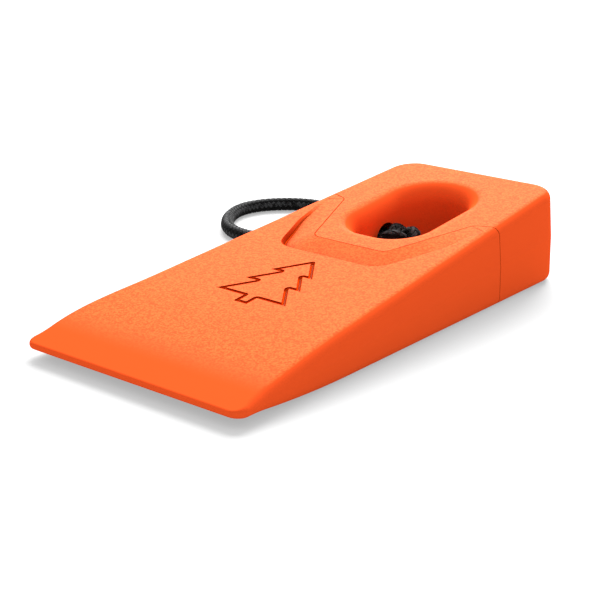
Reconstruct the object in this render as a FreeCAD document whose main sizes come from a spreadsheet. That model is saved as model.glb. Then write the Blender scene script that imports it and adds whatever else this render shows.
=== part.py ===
import FreeCAD, Part
import math
import os
import Sketcher

# Felling wedge: a two-material plastic driving wedge with a carrying loop of braided cord.
#
# The wedge is symmetric about its mid plane, so it is drawn in its own wedge frame: x across,
# y along the mid plane from the thin tip (-y) to the striking face (+y), z square to the mid plane.
# Each finished piece is then turned by half the wedge angle, so that the lower face lies on z = 0
# with the origin on that face, on the centreline, close to halfway along the length.

V = FreeCAD.Vector
X_AXIS = V(1, 0, 0)
Y_AXIS = V(0, 1, 0)
Z_AXIS = V(0, 0, 1)

document = FreeCAD.newDocument("felling_wedge")

DIMENSIONS = [
    # Wedge blank, in the wedge frame
    ("tip_place", 102.5),          # distance of the tip edge in front of y = 0
    ("rear_place", 104.0),         # distance of the striking face behind y = 0
    ("half_angle", 4.085),         # half of the angle between the two driving faces, degrees
    ("mid_half_height", 12.171),   # half height of the wedge at y = 0
    ("rear_half_height", 19.599),  # half height at the striking face
    ("bevel_place", 65.0),         # where the driving face's line and the tip bevel's line would meet
    ("bevel_half_height", 7.529),  # half height at that corner
    ("bevel_blend", 480.0),        # long radius that curves the driving face into the tip bevel
    ("tip_half_height", 1.2),      # half height of the blunt tip edge before rounding
    ("plan_reach", 130.0),         # the sides are drawn past both ends, which are cut flat later
    ("plan_tip_half", 54.605),     # half width of the side lines at the reach in front of the tip
    ("plan_rear_half", 37.835),    # half width of the side lines at the reach behind the head
    ("tip_corner", 5.0),           # plan radius of the tip corners
    ("rear_corner", 12.0),         # plan radius of the striking face's corners
    ("side_draft", 2.0),           # draft of the sides away from the mid plane, degrees
    ("blank_half_height", 24.0),   # height of the drafted prism before the driving faces are cut
    ("blank_half_width", 70.0),    # half width of the long profile before the sides are cut
    ("edge_round", 3.5),           # round on the long edges and round the striking face
    ("bevel_round", 2.3),          # what that round has shrunk to where the tip bevel is flat
    ("bevel_flat", 80.0),          # rounds that end in front of this place have the bevel's radius
    ("tip_round", 1.0),            # round on the tip edge
    # Seam between the blade and the striking head
    ("seam_front", 15.2),          # front of the head's tongue
    ("seam_front_half", 17.8),
    ("seam_waist", 52.5),
    ("seam_waist_half", 32.3),
    ("seam_side", 66.5),
    ("seam_reach", 75.0),          # how far the head's cutting prism runs past the wedge
    ("seam_inside", 38.0),         # upright seam edges nearer the centreline are inside the wedge
    ("tongue_corner", 5.0),
    ("elbow_corner", 3.5),
    ("seam_chamfer", 0.4),         # chamfer that shows the seam as a fine groove
    # Sloping scoop round the tongue, on both driving faces
    ("scoop_front", 2.0),
    ("scoop_front_half", 24.5),
    ("scoop_flank", 26.0),
    ("scoop_flank_half", 34.0),
    ("scoop_end", 49.5),
    ("scoop_end_half", 39.5),
    ("scoop_corner", 9.0),
    ("scoop_depth", 2.3),
    ("scoop_end_depth", 0.08),
    ("scoop_wall", 1.3),           # plan width of the sloping wall at the scoop's outer edge
    ("scoop_over", 1.5),           # how far the cutter stands above the face
    # Finger slot through the head
    ("slot_front", 31.1),
    ("slot_rear", 82.4),
    ("slot_half_width", 15.8),
    ("slot_front_corner", 12.0),
    ("slot_rear_corner", 15.2),
    ("slot_lip", 7.4),             # round on the slot's rims
    # Core tang moulded with the blade, inside the head
    ("tang_root", 40.0),
    ("tang_tail", 88.0),
    ("tang_inner", 22.2),
    ("tang_outer", 33.5),
    ("tang_half_height", 9.5),
    ("tang_corner", 3.0),
    ("lock_radius", 3.5),          # holes that the head's plastic fills, to lock it to the tang
    ("lock_first", 72.5),
    ("lock_second", 81.5),
    ("lock_centre", 27.8),
    # Cord hole, from the slot out through the far wall
    ("hole_place", 58.85),
    ("hole_radius", 6.5),
    ("mouth_start", 41.2),         # the hole's mouth opens out from here
    ("mouth_radius", 9.5),
    # Generic engraved conifer on the upper face
    ("tree_foot", 45.5),
    ("tree_trunk", 40.0),
    ("tree_low", 28.0),
    ("tree_mid", 17.5),
    ("tree_top", 4.5),
    ("tree_trunk_half", 3.2),
    ("tree_low_half", 17.0),
    ("tree_low_notch", 8.0),
    ("tree_mid_half", 13.5),
    ("tree_mid_notch", 5.6),
    ("tree_top_half", 10.2),
    ("tree_tip_half", 0.6),
    ("tree_line", 1.7),            # width of the engraved line
    ("tree_depth", 0.9),
    # Braided cord, in the resting frame
    ("cord_radius", 3.0),
    ("strand_offset", 3.1),        # each strand's distance from the hole's axis
    ("cord_axis_place", 58.7),
    ("cord_axis_height", 16.35),
    ("knot_place", 6.3),           # distance of the knot's centre from the centreline
    ("knot_across", 8.9),
    ("knot_along", 10.3),
    ("knot_tall", 8.0),
    ("run_start", 18.9),
    ("run_end", 54.4),
    ("lift_place", 59.0),          # hinge line where the loop lifts
    ("root_start", 63.6),
    ("root_end", 68.0),
    ("sweep_place", 73.5),         # hinge line where the loop swings fore and aft
    ("leg_start", 79.0),
    ("droop_start", 59.0),         # where the cord starts to sag to the ground
    ("droop_end", 89.0),
    ("leg_end", 101.4),
    ("bight_start", 110.6),        # the loop's end folds between the legs and here
    ("cord_lift", 0.05),           # keeps the lying cord just clear of the ground
]

# Plan of the loop on the ground, as distances across and along, from the front leg to the rear leg
LOOP_PLAN = [
    ("front_leg", 95.0, 57.0),
    ("front_fold", 104.5, 59.4),
    ("front_bend", 114.5, 66.8),
    ("end_front", 122.5, 77.5),
    ("end_middle", 126.8, 90.5),
    ("end_rear", 124.3, 102.6),
    ("rear_bend", 117.0, 111.6),
    ("rear_fold", 107.6, 117.0),
    ("rear_crest", 97.5, 117.2),
    ("rear_turn", 90.6, 109.0),
    ("rear_leg", 89.6, 96.0),
    ("rear_waist", 90.4, 82.0),
    ("rear_bulge", 88.2, 69.8),
]
LOOP_POINTS = [name for name, across, along in LOOP_PLAN]
for name, across, along in LOOP_PLAN:
    DIMENSIONS.append((name + "_across", across))
    DIMENSIONS.append((name + "_along", along))
VALUE = dict(DIMENSIONS)

sheet = document.addObject("Spreadsheet::Sheet", "dims")
for row, (alias, number) in enumerate(DIMENSIONS, start=1):
    sheet.set("A%d" % row, alias)
    sheet.set("B%d" % row, str(number))
    sheet.setAlias("B%d" % row, alias)
document.recompute()


# ---------------------------------------------------------------------------------------------
# Helpers
# ---------------------------------------------------------------------------------------------

def signed(alias):
    """The number and the expression of a sheet value that may have a minus sign in front."""
    if alias.startswith("-"):
        return -VALUE[alias[1:]], "-dims." + alias[1:]
    return VALUE[alias], "dims." + alias


def bind(target, **properties):
    """Binds properties of an object to sheet values."""
    for path, alias in properties.items():
        target.setExpression(path, signed(alias)[1])


def constrain(sketch, expression, *terms):
    """Adds a dimension to a sketch and binds it to the sheet."""
    index = sketch.addConstraint(Sketcher.Constraint(*terms))
    sketch.setExpression("Constraints[%d]" % index, expression)


def corner_arc(before, corner, after, radius):
    """Where a round of this radius leaves the two edges of a corner, its centre and its turn."""
    back = (before - corner).normalize()
    ahead = (after - corner).normalize()
    half = back.getAngle(ahead) / 2
    reach = radius / math.tan(half)
    centre = corner + (back + ahead).normalize() * (radius / math.sin(half))
    turn = back.cross(ahead).z
    return corner + back * reach, corner + ahead * reach, centre, turn


def outline(name, corners, placement=None):
    """A closed sketch; each corner is (x alias, y alias, radius alias or None) and is bound to the sheet."""
    sketch = document.addObject("Sketcher::SketchObject", name)
    if placement:
        sketch.Placement = placement
    count = len(corners)
    points = [V(signed(c[0])[0], signed(c[1])[0], 0) for c in corners]
    leave = []
    arrive = []
    arcs = []
    for i, point in enumerate(points):
        radius = corners[i][2]
        if radius is None:
            arrive.append(point)
            leave.append(point)
            arcs.append(None)
            continue
        first, last, centre, turn = corner_arc(points[i - 1], point, points[(i + 1) % count], VALUE[radius])
        arrive.append(first)
        leave.append(last)
        start, end = (first, last) if turn < 0 else (last, first)
        start_angle = math.atan2(start.y - centre.y, start.x - centre.x)
        end_angle = math.atan2(end.y - centre.y, end.x - centre.x)
        circle = Part.Circle(centre, Z_AXIS, VALUE[radius])
        arcs.append((Part.ArcOfCircle(circle, start_angle, end_angle), turn < 0))
    lines = []
    for i in range(count):
        segment = Part.LineSegment(leave[i], arrive[(i + 1) % count])
        lines.append(sketch.addGeometry(segment, False))
    for i in range(count):
        x_expression = signed(corners[i][0])[1]
        y_expression = signed(corners[i][1])[1]
        into = lines[i - 1]
        out = lines[i]
        if arcs[i] is None:
            sketch.addConstraint(Sketcher.Constraint("Coincident", into, 2, out, 1))
            constrain(sketch, x_expression, "DistanceX", -1, 1, out, 1, points[i].x)
            constrain(sketch, y_expression, "DistanceY", -1, 1, out, 1, points[i].y)
            continue
        arc, forward = arcs[i]
        geometry = sketch.addGeometry(arc, False)
        vertex = sketch.addGeometry(Part.Point(points[i]), True)
        constrain(sketch, x_expression, "DistanceX", -1, 1, vertex, 1, points[i].x)
        constrain(sketch, y_expression, "DistanceY", -1, 1, vertex, 1, points[i].y)
        sketch.addConstraint(Sketcher.Constraint("PointOnObject", vertex, 1, into))
        sketch.addConstraint(Sketcher.Constraint("PointOnObject", vertex, 1, out))
        near, far = (1, 2) if forward else (2, 1)
        sketch.addConstraint(Sketcher.Constraint("Tangent", into, 2, geometry, near))
        sketch.addConstraint(Sketcher.Constraint("Tangent", out, 1, geometry, far))
        constrain(sketch, "dims." + corners[i][2], "Radius", geometry, VALUE[corners[i][2]])
    return sketch


def extrude(name, sketch, forward, backward=None):
    """A prism from a sketch, up by one sheet value and down by another."""
    prism = document.addObject("Part::Extrusion", name)
    prism.Base = sketch
    prism.DirMode = "Normal"
    prism.Solid = True
    bind(prism, LengthFwd=forward)
    if backward:
        bind(prism, LengthRev=backward)
    return prism


def boolean(kind, name, base, tool):
    """A Part::Cut, Part::Fuse or Part::Common of two objects."""
    result = document.addObject("Part::" + kind, name)
    result.Base = base
    result.Tool = tool
    return result


def mirrored(name, source, normal):
    """A mirror image through the wedge frame's origin."""
    image = document.addObject("Part::Mirroring", name)
    image.Source = source
    image.Normal = normal
    image.Base = V(0, 0, 0)
    return image


def rounded(name, base, picks, kind="Fillet"):
    """A Part::Fillet or Part::Chamfer on the picked edges; picks holds (edge number, start, end)."""
    result = document.addObject("Part::" + kind, name)
    result.Base = base
    result.Edges = picks
    return result


def settle(result):
    """Turns a finished wedge piece from the wedge frame to the resting frame."""
    result.setExpression("Placement.Base.z", "dims.mid_half_height * cos(dims.half_angle * 1deg)")
    result.setExpression("Placement.Rotation.Angle", "dims.half_angle * 1deg")
    turn = FreeCAD.Rotation(X_AXIS, VALUE["half_angle"])
    result.Placement = FreeCAD.Placement(V(0, 0, VALUE["mid_half_height"]), turn)
    return result


def face_height(place):
    """Half height of the driving faces at a place along the wedge frame."""
    return VALUE["mid_half_height"] + place * math.tan(math.radians(VALUE["half_angle"]))


# Where the upper driving face lies, for what is cut into it
UPPER_FACE = FreeCAD.Placement(
    V(0, 0, VALUE["mid_half_height"]), FreeCAD.Rotation(X_AXIS, VALUE["half_angle"]))


# ---------------------------------------------------------------------------------------------
# Wedge blank: one half above the mid plane, drafted, rounded, then mirrored
# ---------------------------------------------------------------------------------------------

plan = outline("plan_outline", [
    ("-plan_tip_half", "-plan_reach", None),
    ("plan_tip_half", "-plan_reach", None),
    ("plan_rear_half", "plan_reach", None),
    ("-plan_rear_half", "plan_reach", None),
])
plan_prism = extrude("plan_prism", plan, "blank_half_height")
bind(plan_prism, TaperAngle="-side_draft")

end_box = document.addObject("Part::Box", "end_box")
bind(end_box, Height="blank_half_height")
end_box.setExpression("Length", "2 * dims.blank_half_width")
end_box.setExpression("Width", "dims.tip_place + dims.rear_place")
end_box.setExpression("Placement.Base.x", "-dims.blank_half_width")
end_box.setExpression("Placement.Base.y", "-dims.tip_place")
half_block = boolean("Common", "half_block", plan_prism, end_box)

LONG_PROFILE = FreeCAD.Placement(V(0, 0, 0), FreeCAD.Rotation(V(1, 1, 1), 120))
profile = outline("profile_outline", [
    ("rear_place", "-rear_half_height", None),
    ("rear_place", "rear_half_height", None),
    ("-bevel_place", "bevel_half_height", "bevel_blend"),
    ("-tip_place", "tip_half_height", None),
    ("-tip_place", "-tip_half_height", None),
    ("-bevel_place", "-bevel_half_height", "bevel_blend"),
], LONG_PROFILE)
profile_prism = extrude("profile_prism", profile, "blank_half_width", "blank_half_width")
document.recompute()

NEAR = 1.0                                     # tolerance when edges are picked by their place
TIP_ZONE = 8.0                                 # length behind the tip edge that has the tip's round
TIP_INSIDE = VALUE["tip_place"] - TIP_ZONE     # cross edges between these two places lie in the
REAR_INSIDE = VALUE["rear_place"] - TIP_ZONE   # driving faces and stay sharp


def edge_ends(edge):
    return [edge.valueAt(edge.FirstParameter), edge.valueAt(edge.LastParameter)]


def corner_picks(shape):
    """The upright edges at the tip's and the striking face's plan corners."""
    picks = []
    for number, edge in enumerate(shape.Edges, start=1):
        low, high = edge_ends(edge)
        place = edge.CenterOfMass.y
        at_tip = abs(place + VALUE["tip_place"]) < NEAR
        at_rear = abs(place - VALUE["rear_place"]) < NEAR
        if abs(low.z - high.z) < NEAR or not (at_tip or at_rear):
            continue
        radius = VALUE["rear_corner"] if at_rear else VALUE["tip_corner"]
        picks.append((number, radius, radius))
    return picks


def rim_radius(place):
    """Radius of the round along the driving faces' rims, which shrinks towards the tip."""
    if place < TIP_ZONE - VALUE["tip_place"]:
        return VALUE["tip_round"]
    if place < -VALUE["bevel_flat"]:
        return VALUE["bevel_round"]
    return VALUE["edge_round"]


def rim_picks(shape):
    """The edges round the driving face, each with the radius at both of its ends."""
    picks = []
    for number, edge in enumerate(shape.Edges, start=1):
        first, last = edge_ends(edge)
        on_mid_plane = min(first.z, last.z) < NEAR
        inside_face = abs(first.y - last.y) < NEAR and -TIP_INSIDE < first.y < REAR_INSIDE
        if on_mid_plane or inside_face:
            continue
        picks.append((number, rim_radius(first.y), rim_radius(last.y)))
    return picks


half_corners = rounded("half_corners", half_block, corner_picks(half_block.Shape))
half_blank = boolean("Common", "half_blank", half_corners, profile_prism)
document.recompute()
half_wedge = rounded("half_wedge", half_blank, rim_picks(half_blank.Shape))
other_half = mirrored("other_half", half_wedge, Z_AXIS)
wedge = boolean("Fuse", "wedge", half_wedge, other_half)
document.recompute()


# ---------------------------------------------------------------------------------------------
# Seam: the prism that takes the striking head, with its tongue, out of the wedge
# ---------------------------------------------------------------------------------------------

seam = outline("seam_outline", [
    ("-seam_front_half", "seam_front", "tongue_corner"),
    ("seam_front_half", "seam_front", "tongue_corner"),
    ("seam_waist_half", "seam_waist", "elbow_corner"),
    ("seam_reach", "seam_side", None),
    ("seam_reach", "plan_reach", None),
    ("-seam_reach", "plan_reach", None),
    ("-seam_reach", "seam_side", None),
    ("-seam_waist_half", "seam_waist", "elbow_corner"),
])
head_prism = extrude("head_prism", seam, "blank_half_height", "blank_half_height")


# ---------------------------------------------------------------------------------------------
# Scoop: a sloping floor that falls away from the tongue to a low wall, on both faces
# ---------------------------------------------------------------------------------------------

def rounded_path(names, radius):
    """A wire through sheet points, with its inner corners rounded."""
    points = [V(signed(x)[0], signed(y)[0], 0) for x, y in names]
    parts = []
    start = points[0]
    for before, corner, after in zip(points, points[1:], points[2:]):
        first, last, centre, turn = corner_arc(before, corner, after, radius)
        parts.append(Part.makeLine(start, first))
        middle = centre + (corner - centre).normalize() * radius
        parts.append(Part.Arc(first, middle, last).toShape())
        start = last
    parts.append(Part.makeLine(start, points[-1]))
    return Part.Wire(parts)


def scoop_section(inner, outer, depth):
    """One cross section of the scoop's cutter: floor from the seam down to the wall's foot."""
    away = (outer - inner).normalize()
    over = V(0, 0, VALUE["scoop_over"])
    foot = outer - away * VALUE["scoop_wall"] - Z_AXIS * depth
    slope = VALUE["scoop_over"] * VALUE["scoop_wall"] / max(depth, VALUE["scoop_wall"])
    loop = [inner, foot, outer, outer + away * slope + over, inner + over, inner]
    return Part.makePolygon(loop)


SCOOP_SECTIONS = 25
SCOOP_FULL = 0.35            # share of each half that keeps the full depth before it fades
inner_line = rounded_path([
    ("-seam_waist_half", "seam_waist"),
    ("-seam_front_half", "seam_front"),
    ("seam_front_half", "seam_front"),
    ("seam_waist_half", "seam_waist"),
], VALUE["tongue_corner"])
outer_line = rounded_path([
    ("-scoop_end_half", "scoop_end"),
    ("-scoop_flank_half", "scoop_flank"),
    ("-scoop_front_half", "scoop_front"),
    ("scoop_front_half", "scoop_front"),
    ("scoop_flank_half", "scoop_flank"),
    ("scoop_end_half", "scoop_end"),
], VALUE["scoop_corner"])
inner_points = inner_line.discretize(SCOOP_SECTIONS)
outer_points = outer_line.discretize(SCOOP_SECTIONS)
sections = []
for i in range(SCOOP_SECTIONS):
    off_centre = abs(2 * i / (SCOOP_SECTIONS - 1) - 1)
    fade = max(0.0, (off_centre - SCOOP_FULL) / (1 - SCOOP_FULL))
    fade = fade * fade * (3 - 2 * fade)
    depth = VALUE["scoop_depth"] * (1 - fade) + VALUE["scoop_end_depth"] * fade
    sections.append(scoop_section(inner_points[i], outer_points[i], depth))
scoop = document.addObject("Part::Feature", "scoop_cutter")
scoop.Shape = Part.makeLoft(sections, True, False)
scoop.Placement = UPPER_FACE
lower_scoop = mirrored("lower_scoop_cutter", scoop, Z_AXIS)
document.recompute()


# ---------------------------------------------------------------------------------------------
# Engraving: a generic conifer drawn as one line on the upper face
# ---------------------------------------------------------------------------------------------

tree_half = [
    ("tree_trunk_half", "-tree_foot"),
    ("tree_trunk_half", "-tree_trunk"),
    ("tree_low_half", "-tree_trunk"),
    ("tree_low_notch", "-tree_low"),
    ("tree_mid_half", "-tree_low"),
    ("tree_mid_notch", "-tree_mid"),
    ("tree_top_half", "-tree_mid"),
    ("tree_tip_half", "-tree_top"),
]
tree_corners = [(x, y, None) for x, y in tree_half]
tree_corners += [("-" + x, y, None) for x, y in reversed(tree_half)]
tree = outline("tree_outline", tree_corners, UPPER_FACE)
tree_ring = document.addObject("Part::Offset2D", "tree_ring")
tree_ring.Source = tree
tree_ring.Fill = True
bind(tree_ring, Value="-tree_line")
engraving = extrude("engraving", tree_ring, "scoop_over", "tree_depth")
document.recompute()


# ---------------------------------------------------------------------------------------------
# Finger slot, cord hole and tang
# ---------------------------------------------------------------------------------------------

slot = outline("slot_outline", [
    ("-slot_half_width", "slot_front", "slot_front_corner"),
    ("slot_half_width", "slot_front", "slot_front_corner"),
    ("slot_half_width", "slot_rear", "slot_rear_corner"),
    ("-slot_half_width", "slot_rear", "slot_rear_corner"),
])
slot_prism = extrude("slot_prism", slot, "blank_half_height", "blank_half_height")

hole = document.addObject("Part::Cylinder", "cord_hole")
hole.Placement = FreeCAD.Placement(V(0, VALUE["hole_place"], 0), FreeCAD.Rotation(Y_AXIS, -90))
bind(hole, Radius="hole_radius", Height="blank_half_width")
hole.setExpression("Placement.Base.y", "dims.hole_place")

tang_plates = []
for side, name in ((1, "near"), (-1, "far")):
    sign = "" if side > 0 else "-"
    plate = outline("tang_outline_" + name, [
        (sign + "tang_inner", "tang_root", "tang_corner"),
        (sign + "tang_outer", "tang_root", "tang_corner"),
        (sign + "tang_outer", "tang_tail", "tang_corner"),
        (sign + "tang_inner", "tang_tail", "tang_corner"),
    ])
    prong = extrude("tang_prong_" + name, plate, "tang_half_height", "tang_half_height")
    for place in ("lock_first", "lock_second"):
        lock = document.addObject("Part::Cylinder", place + "_" + name)
        bind(lock, Radius="lock_radius")
        lock.setExpression("Height", "2 * dims.blank_half_height")
        lock_base = V(side * VALUE["lock_centre"], VALUE[place], 0)
        lock.Placement = FreeCAD.Placement(lock_base, FreeCAD.Rotation())
        lock.setExpression("Placement.Base.x", signed(sign + "lock_centre")[1])
        lock.setExpression("Placement.Base.y", "dims." + place)
        lock.setExpression("Placement.Base.z", "-dims.blank_half_height")
        prong = boolean("Cut", "tang_" + place + "_" + name, prong, lock)
    tang_plates.append(prong)
document.recompute()


# ---------------------------------------------------------------------------------------------
# Blade: hard front part with the tang
# ---------------------------------------------------------------------------------------------

blade_front = boolean("Cut", "blade_front", wedge, head_prism)
blade_pronged = boolean("Fuse", "blade_near_prong", blade_front, tang_plates[0])
blade_pronged = boolean("Fuse", "blade_far_prong", blade_pronged, tang_plates[1])
document.recompute()
blade_scooped = document.addObject("Part::Feature", "blade_scooped")
blade_scooped.Shape = blade_pronged.Shape.cut([scoop.Shape, lower_scoop.Shape])
blade_engraved = boolean("Cut", "blade_engraved", blade_scooped, engraving)
blade = boolean("Cut", "blade", blade_engraved, hole)


# ---------------------------------------------------------------------------------------------
# Striking head: tougher block moulded over the tang
# ---------------------------------------------------------------------------------------------

def lip_picks(shape):
    """The rims of the finger slot on both driving faces."""
    picks = []
    for number, edge in enumerate(shape.Edges, start=1):
        middle = edge.CenterOfMass
        ends = edge_ends(edge)
        inside = all(abs(end.x) < VALUE["slot_half_width"] + NEAR for end in ends)
        along = all(VALUE["slot_front"] - NEAR < end.y < VALUE["slot_rear"] + NEAR for end in ends)
        on_face = abs(abs(middle.z) - face_height(middle.y)) < NEAR
        if inside and along and on_face:
            picks.append((number, VALUE["slot_lip"], VALUE["slot_lip"]))
    return picks


head_block = boolean("Common", "head_block", wedge, head_prism)
head_slotted = boolean("Cut", "head_slotted", head_block, slot_prism)
document.recompute()
head_lips = rounded("head_lips", head_slotted, lip_picks(head_slotted.Shape))
document.recompute()


def seam_picks(shape):
    """The edges where the seam meets the outside of the head."""
    picks = []
    for number, edge in enumerate(shape.Edges, start=1):
        first, last = edge_ends(edge)
        middle = edge.valueAt((edge.FirstParameter + edge.LastParameter) / 2)
        upright = abs(first.z - last.z) > 2 * VALUE["tang_half_height"]
        inside_wall = upright and abs(middle.x) < VALUE["seam_inside"]
        behind = max(first.y, last.y) > VALUE["seam_side"]
        in_lip = VALUE["slot_half_width"] + VALUE["slot_lip"]
        round_slot = abs(middle.x) < in_lip and middle.y > VALUE["slot_front"] - VALUE["slot_lip"]
        if inside_wall or behind or round_slot:
            continue
        picks.append((number, VALUE["seam_chamfer"], VALUE["seam_chamfer"]))
    return picks


head_seam = rounded("head_seam", head_lips, seam_picks(head_lips.Shape), "Chamfer")
piece = boolean("Cut", "head_near_pocket", head_seam, tang_plates[0])
piece = boolean("Cut", "head_far_pocket", piece, tang_plates[1])
head_bored = boolean("Cut", "head_bored", piece, hole)

mouth = document.addObject("Part::Cone", "hole_mouth")
mouth.Placement = FreeCAD.Placement(V(0, VALUE["hole_place"], 0), FreeCAD.Rotation(Y_AXIS, -90))
bind(mouth, Radius1="hole_radius", Radius2="mouth_radius")
mouth.setExpression("Height", "dims.mouth_radius - dims.hole_radius")
mouth.setExpression("Placement.Base.x", "-dims.mouth_start")
mouth.setExpression("Placement.Base.y", "dims.hole_place")
striking_head = boolean("Cut", "striking_head", head_bored, mouth)

for piece in (blade, striking_head):
    settle(piece)
document.recompute()


# ---------------------------------------------------------------------------------------------
# Cord: one closed path out of the hole, round the loop and back, cut where the loop can bend
# ---------------------------------------------------------------------------------------------

def cord_height(across):
    """Height of the cord's centre: level with the hole, then sagging to lie on the ground."""
    ground = VALUE["cord_radius"] + VALUE["cord_lift"]
    part = (-across - VALUE["droop_start"]) / (VALUE["droop_end"] - VALUE["droop_start"])
    part = min(1.0, max(0.0, part))
    drop = part * part * (3 - 2 * part)
    return VALUE["cord_axis_height"] + (ground - VALUE["cord_axis_height"]) * drop


def cord_point(across, along):
    return V(across, along, cord_height(across))


front_along = VALUE["cord_axis_place"] - VALUE["strand_offset"]
rear_along = VALUE["cord_axis_place"] + VALUE["strand_offset"]
straight = [VALUE[name] for name in ("lift_place", "root_start", "root_end", "sweep_place", "leg_start")]
path_points = [cord_point(-across, front_along) for across in straight]
path_points += [cord_point(-VALUE[name + "_across"], VALUE[name + "_along"]) for name in LOOP_POINTS]
path_points += [cord_point(-across, rear_along) for across in reversed(straight)]
loop_curve = Part.BSplineCurve()
loop_curve.interpolate(path_points)


def crossing(across, low, high):
    """Parameter between low and high where the loop passes this distance from the centreline."""
    low_side = loop_curve.value(low).x + across
    for _ in range(60):
        middle = (low + high) / 2
        side = loop_curve.value(middle).x + across
        if (side > 0) == (low_side > 0):
            low = middle
        else:
            high = middle
    return (low + high) / 2


def cord_piece(name, edge):
    """A round strand along an edge, with half balls on its ends."""
    radius = VALUE["cord_radius"]
    start = edge.valueAt(edge.FirstParameter)
    end = edge.valueAt(edge.LastParameter)
    heading = edge.tangentAt(edge.FirstParameter)
    arrival = edge.tangentAt(edge.LastParameter)
    circle = Part.Wire([Part.makeCircle(radius, start, heading)])
    strand = Part.Wire([edge]).makePipeShell([circle], True, True)
    for centre, outward in ((start, -heading), (end, arrival)):
        strand = strand.fuse(Part.makeSphere(radius, centre, outward, 0, 90, 360))
    feature = document.addObject("Part::Feature", name)
    feature.Shape = strand
    feature.Placement = FreeCAD.Placement()
    return feature


first_half = (loop_curve.FirstParameter, (loop_curve.FirstParameter + loop_curve.LastParameter) / 2)
second_half = (first_half[1], loop_curve.LastParameter)


def span(name, start, end, half):
    """A strand between two distances from the centreline, on one half of the loop."""
    bounds = sorted([crossing(VALUE[start], *half), crossing(VALUE[end], *half)])
    return cord_piece(name, loop_curve.toShape(*bounds))


cord = []
for side, half, along in (("front", first_half, front_along), ("rear", second_half, rear_along)):
    inner_end = V(-VALUE["run_start"], along, VALUE["cord_axis_height"])
    outer_end = V(-VALUE["run_end"], along, VALUE["cord_axis_height"])
    cord.append(cord_piece("cord_run_" + side, Part.makeLine(inner_end, outer_end)))
    cord.append(span("cord_root_" + side, "root_start", "root_end", half))
    cord.append(span("cord_leg_" + side, "leg_start", "leg_end", half))
bight_start = crossing(VALUE["bight_start"], *first_half)
bight_end = crossing(VALUE["bight_start"], *second_half)
cord.append(cord_piece("cord_bight", loop_curve.toShape(bight_start, bight_end)))

knot = document.addObject("Part::Ellipsoid", "cord_knot")
bind(knot, Radius1="knot_tall", Radius2="knot_across", Radius3="knot_along")
knot.Placement = FreeCAD.Placement(
    V(-VALUE["knot_place"], VALUE["cord_axis_place"], VALUE["cord_axis_height"]), FreeCAD.Rotation())
knot.setExpression("Placement.Base.x", "-dims.knot_place")
knot.setExpression("Placement.Base.y", "dims.cord_axis_place")
knot.setExpression("Placement.Base.z", "dims.cord_axis_height")
document.recompute()


# ---------------------------------------------------------------------------------------------
# Checks and export
# ---------------------------------------------------------------------------------------------

for made in document.Objects:
    if "Invalid" in made.State or "Error" in made.State:
        raise RuntimeError(made.Name + " did not compute")

pieces = [blade, striking_head, knot] + cord
for piece in pieces:
    shape = piece.Shape
    if shape.isNull() or not shape.isValid() or len(shape.Solids) != 1:
        raise RuntimeError(piece.Name + " is not one valid solid")
    piece.Label = piece.Name

os.makedirs("parts", exist_ok=True)
for piece in pieces:
    piece.Shape.exportStep("parts/" + piece.Label + ".step")
    print(piece.Label, round(piece.Shape.Volume, 1))
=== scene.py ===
import math

import bpy
import numpy as np
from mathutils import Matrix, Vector


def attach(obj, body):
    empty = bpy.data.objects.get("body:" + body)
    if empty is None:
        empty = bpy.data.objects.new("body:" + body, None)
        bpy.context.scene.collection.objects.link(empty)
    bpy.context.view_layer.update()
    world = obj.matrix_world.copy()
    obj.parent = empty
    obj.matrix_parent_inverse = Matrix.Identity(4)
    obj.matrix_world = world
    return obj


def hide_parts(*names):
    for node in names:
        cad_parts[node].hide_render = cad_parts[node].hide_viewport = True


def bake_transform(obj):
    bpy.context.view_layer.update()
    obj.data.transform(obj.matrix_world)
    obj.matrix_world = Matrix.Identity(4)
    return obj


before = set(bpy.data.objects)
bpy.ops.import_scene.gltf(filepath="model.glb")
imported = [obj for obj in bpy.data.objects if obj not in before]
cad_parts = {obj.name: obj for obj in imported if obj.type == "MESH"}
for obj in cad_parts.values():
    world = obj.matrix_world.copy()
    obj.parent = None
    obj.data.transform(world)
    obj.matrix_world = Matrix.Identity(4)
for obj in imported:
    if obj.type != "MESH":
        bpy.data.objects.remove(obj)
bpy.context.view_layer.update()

scene = bpy.context.scene
MM = 0.001

# ---------------------------------------------------------------------------------------------
# Dimensions, in millimetres, in the frame of the CAD model: X is across the wedge, Y runs from
# the tip to the head and Z is up. The cord leaves the head towards -X, and a distance called
# "across" is measured that way from the mid plane.
# ---------------------------------------------------------------------------------------------

HOLE_ALONG = 58.7            # the cord hole's axis runs along X at this place and height
HOLE_HEIGHT = 16.35
STRAND_OFFSET = 3.1          # each strand's distance from the hole's axis
GROUND = 3.05                # height of the cord's centre where it lies on the ground
DROOP_START = 59.0           # the legs sink from the hole to the ground between these distances across
DROOP_END = 89.0
RUN_START = 8.0              # where the strands come out of the knot
STRAIGHT = (20.0, 30.0, 40.0, 48.0, 54.4, 59.0, 63.6, 68.0, 73.5, 79.0)    # side by side up to here
LOOP_PLAN = (                # the open end of the loop, from the front leg to the rear one: across, along
    (95.0, 57.0), (104.5, 59.4), (114.5, 66.8), (122.5, 77.5), (126.8, 90.5), (124.3, 102.6), (117.0, 111.6),
    (107.6, 117.0), (97.5, 117.2), (90.6, 109.0), (89.6, 96.0), (90.4, 82.0), (88.2, 69.8),
)

ROOT_CUT = 65.4              # sheath pieces are cut here, near the middle of the root's rigid stretch
FRONT_LEG_CUT = (94.0, 57.0)     # and where the legs meet the end of the loop: across, along
REAR_LEG_CUT = (90.0, 90.3)

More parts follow.
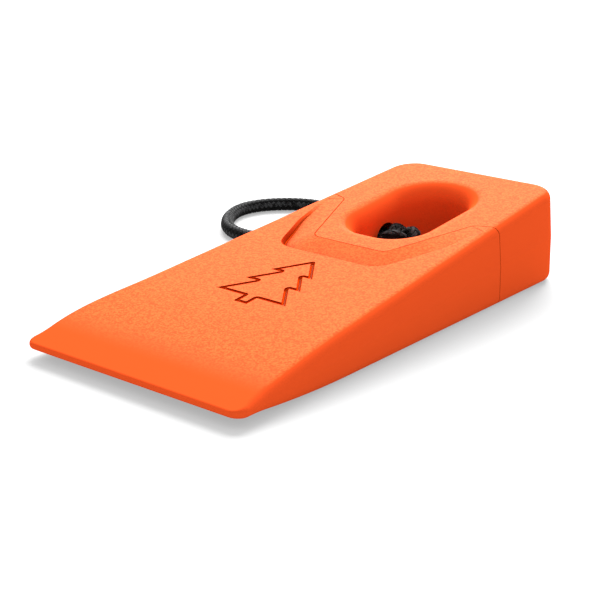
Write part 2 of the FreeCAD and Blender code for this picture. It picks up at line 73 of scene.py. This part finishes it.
BRAID_STEP = 0.6
BRAID_PITCH = 21.0
BRAID_STRANDS = 8            # in each direction
BRAID_RADIUS = 2.55
BRAID_WAVE = 0.22            # how far a strand passes over and under the others
YARN_HALF_WIDTH = 0.86
YARN_THICKNESS = 0.27
CORE_RADIUS = 2.45
CORE_SIDES = 12
# Two yarns side by side: across and outward, as parts of their half width and thickness
YARN_PROFILE = (
    (-1.0, 0.0), (-0.78, 0.72), (-0.45, 1.0), (0.0, 0.55), (0.45, 1.0), (0.78, 0.72), (1.0, 0.0), (0.0, -0.8),
)

KNOT_CENTRE = (-8.4, 58.2, 16.9)
KNOT_DEEP = 2.15             # the trefoil's unit across the slot
KNOT_WIDE = 2.65             # and along it
KNOT_RISE = 3.0              # how far its strands pass over and under
KNOT_START = math.pi / 6     # the trefoil is cut open at this angle
KNOT_POINTS = 60
KNOT_SQUEEZE = 0.93          # the tightened cord's thickness, as a part of the loose one's
TAIL_SPREAD = 2.0            # how far the tails part along the slot
TAIL_STEPS = ((-0.8, -2.8), (-1.8, -5.8), (-2.2, -9.0))      # each tail's places: aside and down


# ---------------------------------------------------------------------------------------------
# Material nodes
# ---------------------------------------------------------------------------------------------

OPENNESS_SAMPLES = 8


class Graph:
    """A procedural material: a Principled shader and the nodes that feed it."""

    def __init__(self, name):
        self.material = bpy.data.materials.new(name)
        self.material.use_nodes = True
        self.nodes = self.material.node_tree.nodes
        self.links = self.material.node_tree.links
        self.nodes.clear()
        output = self.nodes.new("ShaderNodeOutputMaterial")
        self.shader = self.nodes.new("ShaderNodeBsdfPrincipled")
        self.links.new(self.shader.outputs["BSDF"], output.inputs["Surface"])
        self.place = self.nodes.new("ShaderNodeTexCoord").outputs["Object"]

    def feed(self, socket, value):
        """Join a socket to an input, or set the input to a colour or a number."""
        if isinstance(value, bpy.types.NodeSocket):
            self.links.new(value, socket)
        elif isinstance(value, tuple):
            socket.default_value = (*value, 1.0)
        else:
            socket.default_value = value

    def finish(self, setting, value):
        """Feed one of the shader's inputs."""
        self.feed(self.shader.inputs[setting], value)

    def math(self, operation, *operands):
        node = self.nodes.new("ShaderNodeMath")
        node.operation = operation
        for socket, operand in zip(node.inputs, operands):
            self.feed(socket, operand)
        return node.outputs[0]

    def scaled(self, value, factor, start=0.0):
        """A value times a factor, added to a start."""
        product = self.math("MULTIPLY", value, factor)
        if start == 0.0:
            return product
        return self.math("ADD", product, start)

    def split(self, vector):
        """The X, Y and Z of a vector, by name."""
        node = self.nodes.new("ShaderNodeSeparateXYZ")
        self.feed(node.inputs[0], vector)
        return node.outputs

    def ramp(self, value, limits):
        """A smooth step from 0 at the first limit to 1 at the second."""
        node = self.nodes.new("ShaderNodeMapRange")
        node.interpolation_type = "SMOOTHSTEP"
        self.feed(node.inputs["Value"], value)
        self.feed(node.inputs["From Min"], limits[0])
        self.feed(node.inputs["From Max"], limits[1])
        return node.outputs["Result"]

    def mix(self, factor, first, second):
        """The first colour where the factor is 0 and the second where it is 1."""
        node = self.nodes.new("ShaderNodeMix")
        node.data_type = "RGBA"
        self.feed(node.inputs["Factor"], factor)
        self.feed(node.inputs[6], first)         # inputs 6 and 7 and output 2 are the ones for colours
        self.feed(node.inputs[7], second)
        return node.outputs[2]

    def noise(self, scale, detail=2.0):
        """Noise with a scale in cells per metre."""
        node = self.nodes.new("ShaderNodeTexNoise")
        self.feed(node.inputs["Scale"], scale)
        self.feed(node.inputs["Detail"], detail)
        self.feed(node.inputs["Vector"], self.place)
        return node.outputs["Fac"]

    def openness(self, reach, alone=False):
        """1 on open surfaces, less where others stand within the reach; alone ignores other pieces."""
        node = self.nodes.new("ShaderNodeAmbientOcclusion")
        node.samples = OPENNESS_SAMPLES
        node.only_local = alone
        self.feed(node.inputs["Distance"], reach * MM)
        return node.outputs["AO"]

    def bump(self, height, depth, strength):
        """Relief of a depth in millimetres."""
        node = self.nodes.new("ShaderNodeBump")
        self.feed(node.inputs["Distance"], depth * MM)
        self.feed(node.inputs["Strength"], strength)
        self.feed(node.inputs["Height"], height)
        self.finish("Normal", node.outputs["Normal"])


def tinted(colour, tint):
    """A colour with each channel scaled by a tint."""
    return tuple(c * t for c, t in zip(colour, tint))


# ---------------------------------------------------------------------------------------------
# Moulded plastic: spark-eroded grain on the driving faces, smooth sides, rims and tip, with painted shade in
# the finger slot and in the grooves
# ---------------------------------------------------------------------------------------------

ORANGE_SMOOTH = (0.82, 0.086, 0.017)
ORANGE_GRAIN = (0.86, 0.140, 0.026)
PIT_TINT = (0.90, 0.58, 0.45)        # of the grain's colour, in its pits
CLOUD_TINT = (0.70, 0.70, 0.70)      # of the smooth colour, as are the next three
# painted shade deep inside the finger slot
SLOT_SHADE_TINT = (0.30, 0.10, 0.02)
# painted shade in engraved strokes and, darker, along the seam
STROKE_SHADE_TINT = (1.00, 0.75, 0.10)
SEAM_SHADE_TINT = (0.20, 0.20, 0.16)
CLOUD_SCALE = 45.0
CLOUD_SHARE = 0.12

GRAIN_LEVEL = (0.86, 0.97)           # the grain sets in as a surface turns this far up or down
TIP_FADE = (-92.0, -74.0)            # and between these places behind the tip, in millimetres
FINE_GRAIN = 1300.0
COARSE_GRAIN = 620.0
FINE_SHARE = 0.62
COARSE_SHARE = 0.38
GRAIN_CONTRAST = (0.38, 0.62)
GRAIN_DEPTH = 0.14                   # in millimetres
GRAIN_STRENGTH = 0.80
SMOOTH_STRENGTH = 0.04

SLOT_SHADE_REACH = 24.0                    # painted shade, darker deeper inside the finger slot: reach in millimetres, openness
SLOT_SHADE_OPEN = (0.56, 0.97)
GROOVE_REACH = 0.9                   # reach of the painted shade in engraved strokes and the seam, in millimetres; it also darkens the plastic where the floor or the cord come this close: painted contact shadow
GROOVE_SHADE_OPEN = (0.86, 0.985)          # outside the painted groove shade from here on
STROKE_OPEN = (0.66, 0.84)           # from the openness of an engraved stroke to that of the seam
SHEEN_OPEN = (0.97, 1.0)             # grooves have no sheen
SHEEN = 0.018
SMOOTH_ROUGHNESS = 0.55
GRAIN_ROUGHNESS = 0.15               # added by the grain

OUTER_ACROSS = 31.0                  # outer faces: beyond this on either side, or ahead of the next
OUTER_AHEAD = -52.0
NEUTRAL_BOUNCE = (0.16, 0.15, 0.15)


def grain_height(graph):
    fine = graph.scaled(graph.noise(FINE_GRAIN, 1.0), FINE_SHARE)
    coarse = graph.scaled(graph.noise(COARSE_GRAIN), COARSE_SHARE)
    return graph.math("ADD", fine, coarse)


def grain_area(graph, where):
    """1 on the driving faces, 0 on the sides, the rims and the tip."""
    normal = graph.split(graph.nodes.new("ShaderNodeNewGeometry").outputs["Normal"])
    level = graph.math("ABSOLUTE", normal["Z"])
    on_face = graph.ramp(level, GRAIN_LEVEL)
    behind_tip = graph.ramp(where["Y"], (TIP_FADE[0] * MM, TIP_FADE[1] * MM))
    return graph.math("MULTIPLY", on_face, behind_tip)


def plastic_colour(graph, grain, grained, narrow):
    """Grain, slight clouding, painted shade inside the slot and painted shade in the grooves, laid over each
    other.
    """
    crest = graph.ramp(grain, GRAIN_CONTRAST)
    grain_colour = graph.mix(crest, tinted(ORANGE_GRAIN, PIT_TINT), ORANGE_GRAIN)
    base = graph.mix(grained, ORANGE_SMOOTH, grain_colour)
    cloud = graph.scaled(graph.noise(CLOUD_SCALE), CLOUD_SHARE)
    clouded = graph.mix(cloud, base, tinted(ORANGE_SMOOTH, CLOUD_TINT))
    # Painted shade: the colour goes towards the slot tint where the plastic closes in round the finger slot
    slot_unshaded = graph.ramp(graph.openness(SLOT_SHADE_REACH, alone=True), SLOT_SHADE_OPEN)
    shaded = graph.mix(slot_unshaded, tinted(ORANGE_SMOOTH, SLOT_SHADE_TINT), clouded)
    # Painted shade in the grooves and where the floor or the cord come close: the stroke tint where closed in
    # most, the dark seam tint at groove edges and in the seam
    shallow = graph.ramp(narrow, STROKE_OPEN)
    groove = graph.mix(shallow, tinted(ORANGE_SMOOTH, STROKE_SHADE_TINT), tinted(ORANGE_SMOOTH, SEAM_SHADE_TINT))
    return graph.mix(graph.ramp(narrow, GROOVE_SHADE_OPEN), groove, shaded)


def neutral_bounce(graph, where, colour):
    """Light that reaches the floor by way of the outer faces is neutral, so the shadows stay grey."""
    aside = graph.math("GREATER_THAN", graph.math("ABSOLUTE", where["X"]), OUTER_ACROSS * MM)
    ahead = graph.math("LESS_THAN", where["Y"], OUTER_AHEAD * MM)
    outer = graph.math("MAXIMUM", aside, ahead)
    ray = graph.nodes.new("ShaderNodeLightPath")
    bounced = graph.math("MULTIPLY", ray.outputs["Is Diffuse Ray"], outer)
    return graph.mix(bounced, colour, NEUTRAL_BOUNCE)


def plastic(name):
    graph = Graph(name)
    where = graph.split(graph.place)
    grained = grain_area(graph, where)
    grain = grain_height(graph)
    narrow = graph.openness(GROOVE_REACH)
    colour = plastic_colour(graph, grain, grained, narrow)
    graph.finish("Base Color", neutral_bounce(graph, where, colour))
    graph.finish("Roughness", graph.scaled(grained, GRAIN_ROUGHNESS, SMOOTH_ROUGHNESS))
    open_grain = graph.math("MULTIPLY", grained, graph.ramp(narrow, SHEEN_OPEN))
    graph.finish("Specular IOR Level", graph.scaled(open_grain, SHEEN))
    graph.bump(grain, GRAIN_DEPTH, graph.scaled(grained, GRAIN_STRENGTH, SMOOTH_STRENGTH))
    return graph.material


# ---------------------------------------------------------------------------------------------
# Polyester yarn: nearly black, with painted shade where neighbouring yarns close in, and paler flecks and
# fine filaments only on the open yarn
# ---------------------------------------------------------------------------------------------

FIBRE_SCALE = 2600.0
FIBRE_CONTRAST = (0.55, 0.70)
PATCH_SCALE = 500.0
PATCH_CONTRAST = (0.32, 0.60)
YARN_SHADE_REACH = 0.8                     # reach of the painted shade from neighbouring yarns and anything else close by, in millimetres
YARN_SHADE_OPEN = (0.45, 0.95)
FILAMENT_GAIN = 2.5                  # loose filaments are this much paler than the yarn
YARN_ROUGHNESS = 0.7
YARN_SHEEN = 0.06
FIBRE_DEPTH = 0.10                   # in millimetres
FIBRE_STRENGTH = 0.7


def yarn(name, dark_colour, yarn_colour):
    graph = Graph(name)
    fibre = graph.noise(FIBRE_SCALE)
    patch = graph.noise(PATCH_SCALE)
    # Painted shade: where other yarns or pieces close in, the yarn takes the dark colour, and its paler
    # flecks and filaments show only where it is open
    proud = graph.ramp(graph.openness(YARN_SHADE_REACH), YARN_SHADE_OPEN)
    flecks = graph.math("MULTIPLY", proud, graph.ramp(patch, PATCH_CONTRAST))
    woven = graph.mix(flecks, dark_colour, yarn_colour)
    filaments = graph.math("MULTIPLY", graph.ramp(fibre, FIBRE_CONTRAST), proud)
    graph.finish("Base Color", graph.mix(filaments, woven, tinted(yarn_colour, (FILAMENT_GAIN,) * 3)))
    graph.finish("Roughness", YARN_ROUGHNESS)
    graph.finish("Specular IOR Level", YARN_SHEEN)
    graph.bump(fibre, FIBRE_DEPTH, FIBRE_STRENGTH)
    return graph.material


BLADE_PLASTIC = plastic("blade_plastic")
HEAD_PLASTIC = plastic("head_plastic")
CORD_BLACK = yarn("cord_black_yarn", (0.001, 0.001, 0.001), (0.004, 0.004, 0.004))
CORD_GREY = yarn("cord_grey_yarn", (0.002, 0.002, 0.002), (0.034, 0.034, 0.035))


# ---------------------------------------------------------------------------------------------
# Plastic parts: the CAD solids with their moulded finish and painted shade
# ---------------------------------------------------------------------------------------------

for node, material in (("blade", BLADE_PLASTIC), ("striking_head", HEAD_PLASTIC)):
    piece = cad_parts[node]
    piece.data.materials.clear()
    piece.data.materials.append(material)


# ---------------------------------------------------------------------------------------------
# Braided cord: a curve, a twist-free frame along it and the yarns laid round it
# ---------------------------------------------------------------------------------------------

SPLINE_SAMPLES = 60          # for each given point, to measure the length by


def spline(points, step):
    """Points every step along a natural cubic spline through the given points."""
    points = np.array(points, float)
    chord = np.concatenate(([0.0], np.cumsum(np.linalg.norm(np.diff(points, axis=0), axis=1))))
    count = len(points)
    gaps = np.diff(chord)
    matrix = np.zeros((count, count))
    right = np.zeros((count, 3))
    matrix[0, 0] = matrix[-1, -1] = 1.0
    for i in range(1, count - 1):
        matrix[i, i - 1:i + 2] = (gaps[i - 1], 2 * (gaps[i - 1] + gaps[i]), gaps[i])
        right[i] = 6 * ((points[i + 1] - points[i]) / gaps[i] - (points[i] - points[i - 1]) / gaps[i - 1])
    bend = np.linalg.solve(matrix, right)

    def at(where):
        index = np.clip(np.searchsorted(chord, where) - 1, 0, count - 2)
        gap = gaps[index][:, None]
        ahead = (chord[index + 1] - where)[:, None]
        behind = (where - chord[index])[:, None]
        curve = (bend[index] * ahead ** 3 + bend[index + 1] * behind ** 3) / (6 * gap)
        first = (points[index] / gap - bend[index] * gap / 6) * ahead
        second = (points[index + 1] / gap - bend[index + 1] * gap / 6) * behind
        return curve + first + second

    fine = at(np.linspace(0, chord[-1], count * SPLINE_SAMPLES))
    length = np.concatenate(([0.0], np.cumsum(np.linalg.norm(np.diff(fine, axis=0), axis=1))))
    samples = int(round(length[-1] / step))
    wanted = np.linspace(0, length[-1], samples + 1)
    return np.stack([np.interp(wanted, length, fine[:, axis]) for axis in range(3)], axis=1)


def frames_along(path):
    """Tangent and two normals at each point, without twist."""
    tangent = np.gradient(path, axis=0)
    tangent /= np.linalg.norm(tangent, axis=1)[:, None]
    normal = np.zeros_like(path)
    start = np.array((0.0, 0.0, 1.0))
    normal[0] = start - tangent[0] * (start @ tangent[0])
    normal[0] /= np.linalg.norm(normal[0])
    for i in range(1, len(path)):
        side = normal[i - 1] - tangent[i] * (normal[i - 1] @ tangent[i])
        normal[i] = side / np.linalg.norm(side)
    return tangent, normal, np.cross(tangent, normal)


def tube_faces(rings, points, offset):
    """Quads between rings of points, and a cap at each end."""
    faces = []
    for i in range(rings - 1):
        for k in range(points):
            a = offset + i * points + k
            b = offset + i * points + (k + 1) % points
            faces.append((a, b, b + points, a + points))
    faces.append(tuple(offset + k for k in reversed(range(points))))
    faces.append(tuple(offset + (rings - 1) * points + k for k in range(points)))
    return faces


def strand_rings(way, strand, along, frames, squeeze):
    """One strand's cross-sections as it winds round the cord, over and under the other way's strands."""
    centre, tangent, normal, side = frames
    turn = way * 2 * math.pi * along / BRAID_PITCH + 2 * math.pi * strand / BRAID_STRANDS
    crossings = 2 * BRAID_STRANDS * along / BRAID_PITCH
    weave = 2 * strand + way * crossings
    wave = way * BRAID_WAVE * np.cos(math.pi * weave / 2 + math.pi / 4)      # over two, then under two
    radius = (BRAID_RADIUS + wave) * squeeze
    lean = math.atan(2 * math.pi * BRAID_RADIUS / BRAID_PITCH)
    outward = normal * np.cos(turn)[:, None] + side * np.sin(turn)[:, None]
    around = -normal * np.sin(turn)[:, None] + side * np.cos(turn)[:, None]
    across = around * math.cos(lean) - way * tangent * math.sin(lean)
    spine = centre + outward * radius[:, None]
    corners = []
    for wide, proud in YARN_PROFILE:
        step_across = across * (wide * YARN_HALF_WIDTH) * squeeze
        step_outward = outward * (proud * YARN_THICKNESS) * squeeze
        corners.append(spine + step_across + step_outward)
    return np.stack(corners, axis=1)


def core_rings(frames, squeeze):
    """The round filler under the strands."""
    centre, _, normal, side = frames
    corners = []
    for angle in np.linspace(0, 2 * math.pi, CORE_SIDES, endpoint=False):
        outward = normal * math.cos(angle) + side * math.sin(angle)
        corners.append(centre + outward * CORE_RADIUS * squeeze)
    return np.stack(corners, axis=1)


def cord_piece(name, verts, faces, kinds):
    """A smooth-shaded piece of cord; kinds holds 0 for each black face and 1 for each grey one."""
    mesh = bpy.data.meshes.new(name)
    mesh.from_pydata([tuple(v) for v in verts], [], faces)
    mesh.materials.append(CORD_BLACK)
    mesh.materials.append(CORD_GREY)
    mesh.polygons.foreach_set("material_index", kinds)
    mesh.update()
    mesh.polygons.foreach_set("use_smooth", [True] * len(mesh.polygons))
    piece = bpy.data.objects.new(name, mesh)
    scene.collection.objects.link(piece)
    return piece


def braid(name, path, first, last, squeeze=1.0):
    """The sheath's woven strands and the filler under them, along some rows of a path."""
    rows = np.arange(first, last + 1)
    along = rows * np.linalg.norm(path[1] - path[0])
    frames = [part[rows] for part in (path, *frames_along(path))]
    tubes = []
    for way in (1, -1):
        for strand in range(BRAID_STRANDS):
            tubes.append(strand_rings(way, strand, along, frames, squeeze))
    tubes.append(core_rings(frames, squeeze))
    verts = []
    faces = []
    kinds = []
    for number, rings in enumerate(tubes):
        skin = tube_faces(len(rows), rings.shape[1], len(verts))
        grey = 1 if number < BRAID_STRANDS else 0
        verts.extend(rings.reshape(-1, 3))
        faces.extend(skin)
        kinds.extend([grey] * len(skin))
    return cord_piece(name, np.array(verts) * MM, faces, kinds)


# ---------------------------------------------------------------------------------------------
# Loop: out along the front strand, round the end and back along the rear strand
# ---------------------------------------------------------------------------------------------

def cord_height(across):
    part = min(1.0, max(0.0, (across - DROOP_START) / (DROOP_END - DROOP_START)))
    drop = part * part * (3 - 2 * part)
    return HOLE_HEIGHT + (GROUND - HOLE_HEIGHT) * drop


def cord_place(across, along):
    return (-across, along, cord_height(across))


def loop_path():
    points = []
    for across in (RUN_START, *STRAIGHT):
        points.append(cord_place(across, HOLE_ALONG - STRAND_OFFSET))
    for across, along in LOOP_PLAN:
        points.append(cord_place(across, along))
    for across in (*reversed(STRAIGHT), RUN_START):
        points.append(cord_place(across, HOLE_ALONG + STRAND_OFFSET))
    return spline(points, BRAID_STEP)


loop = loop_path()


def nearest_row(across, along):
    """Row of the loop's path nearest a place."""
    return int(np.argmin(np.linalg.norm(loop - np.array(cord_place(across, along)), axis=1)))


def loop_piece(name, first, last, stands_for):
    """Part of the loop, in place of its CAD nodes."""
    sheath = braid(name, loop, first, last)
    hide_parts(*stands_for)
    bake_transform(sheath)


front_root = nearest_row(ROOT_CUT, HOLE_ALONG - STRAND_OFFSET)
rear_root = nearest_row(ROOT_CUT, HOLE_ALONG + STRAND_OFFSET)
front_leg = nearest_row(*FRONT_LEG_CUT)
rear_leg = nearest_row(*REAR_LEG_CUT)

for side, first, last in (("front", 0, front_root), ("rear", rear_root, len(loop) - 1)):
    stands_for = ("cord_run_" + side,)
    loop_piece("cord_sheath_hole_" + side, first, last, stands_for)
for side, first, last in (("front", front_root, front_leg), ("rear", rear_leg, rear_root)):
    stands_for = ("cord_root_" + side, "cord_leg_" + side)
    loop_piece("cord_sheath_leg_" + side, first, last, stands_for)
loop_piece("cord_sheath_end", front_leg, rear_leg, ("cord_bight",))


# ---------------------------------------------------------------------------------------------
# Knot: an overhand knot lying flat against the far wall, from one hanging tail to the other
# ---------------------------------------------------------------------------------------------

def knot_path():
    centre = np.array(KNOT_CENTRE)
    points = []
    for angle in np.linspace(KNOT_START, KNOT_START + 2 * math.pi, KNOT_POINTS)[1:-1]:
        deep = 2 * math.cos(2 * angle) - math.cos(angle)
        wide = math.sin(angle) + 2 * math.sin(2 * angle)
        rise = -KNOT_RISE * math.sin(3 * angle)
        points.append(centre + np.array((deep * KNOT_DEEP, wide * KNOT_WIDE, rise)))
    first = points[0]
    last = points[-1]
    for aside, down in TAIL_STEPS:
        points.insert(0, first + np.array((aside, -TAIL_SPREAD + aside, down)))
        points.append(last + np.array((aside, TAIL_SPREAD - aside, down)))
    return spline(points, BRAID_STEP)


tie = knot_path()
knot = braid("cord_knot_braid", tie, 0, len(tie) - 1, KNOT_SQUEEZE)
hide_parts("cord_knot")
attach(knot, "cord_slider")


# ---------------------------------------------------------------------------------------------
# Studio: a pale light table, soft light and the camera
# ---------------------------------------------------------------------------------------------

FLOOR_REACH = 4.0                    # half its side, in metres
FLOOR_DROP = 0.1                     # below the ground, in millimetres, so that the faces don't coincide
PAPER_DARK = (0.37, 0.37, 0.37)
PAPER_PALE = (0.39, 0.39, 0.39)
PAPER_SCALE = 3.0
PAPER_GLOW = 0.37
PAPER_ROUGHNESS = 0.9
PAPER_SHEEN = 0.1
WHITE = (1.0, 1.0, 1.0)
SKY_STRENGTH = 0.85
KEY_PLACE = (-0.80, 1.22, 1.05)
KEY_SIZE = 1.5
KEY_POWER = 112.0
CAMERA_PLACE = (0.36235, -0.42667, 0.19045)
CAMERA_DOWN = 18.12                  # degrees below the horizon
CAMERA_TURN = 41.24                  # degrees anticlockwise from a view along Y
CAMERA_LENS = 92.92
CAMERA_SENSOR = 36.0
CAMERA_NEAR = 0.01


def light_table():
    graph = Graph("studio_paper")
    graph.finish("Base Color", graph.mix(graph.noise(PAPER_SCALE), PAPER_DARK, PAPER_PALE))
    graph.finish("Emission Color", WHITE)
    graph.finish("Emission Strength", PAPER_GLOW)
    graph.finish("Roughness", PAPER_ROUGHNESS)
    graph.finish("Specular IOR Level", PAPER_SHEEN)
    mesh = bpy.data.meshes.new("studio_floor")
    corners = [(x * FLOOR_REACH, y * FLOOR_REACH, 0) for x, y in ((-1, -1), (1, -1), (1, 1), (-1, 1))]
    mesh.from_pydata(corners, [], [(0, 1, 2, 3)])
    mesh.materials.append(graph.material)
    ground = bpy.data.objects.new("studio_floor", mesh)
    ground.location.z = -FLOOR_DROP * MM
    scene.collection.objects.link(ground)


def sky():
    world = bpy.data.worlds.new("studio")
    world.use_nodes = True
    background = world.node_tree.nodes["Background"]
    background.inputs["Color"].default_value = (*WHITE, 1.0)
    background.inputs["Strength"].default_value = SKY_STRENGTH
    scene.world = world


def key_light():
    """A square soft light behind the wedge, aimed at the middle of the scene."""
    light = bpy.data.lights.new("key", "AREA")
    light.shape = "SQUARE"
    light.size = KEY_SIZE
    light.energy = KEY_POWER
    lamp = bpy.data.objects.new("key", light)
    lamp.location = KEY_PLACE
    lamp.rotation_euler = (-Vector(KEY_PLACE)).to_track_quat("-Z", "Y").to_euler()
    scene.collection.objects.link(lamp)


def main_camera():
    data = bpy.data.cameras.new("camera")
    data.lens = CAMERA_LENS
    data.sensor_width = CAMERA_SENSOR
    data.clip_start = CAMERA_NEAR
    camera = bpy.data.objects.new("camera", data)
    camera.location = CAMERA_PLACE
    camera.rotation_euler = (math.radians(90 - CAMERA_DOWN), 0.0, math.radians(CAMERA_TURN))
    scene.collection.objects.link(camera)
    scene.camera = camera


light_table()
sky()
key_light()
main_camera()
scene.view_settings.view_transform = "Standard"
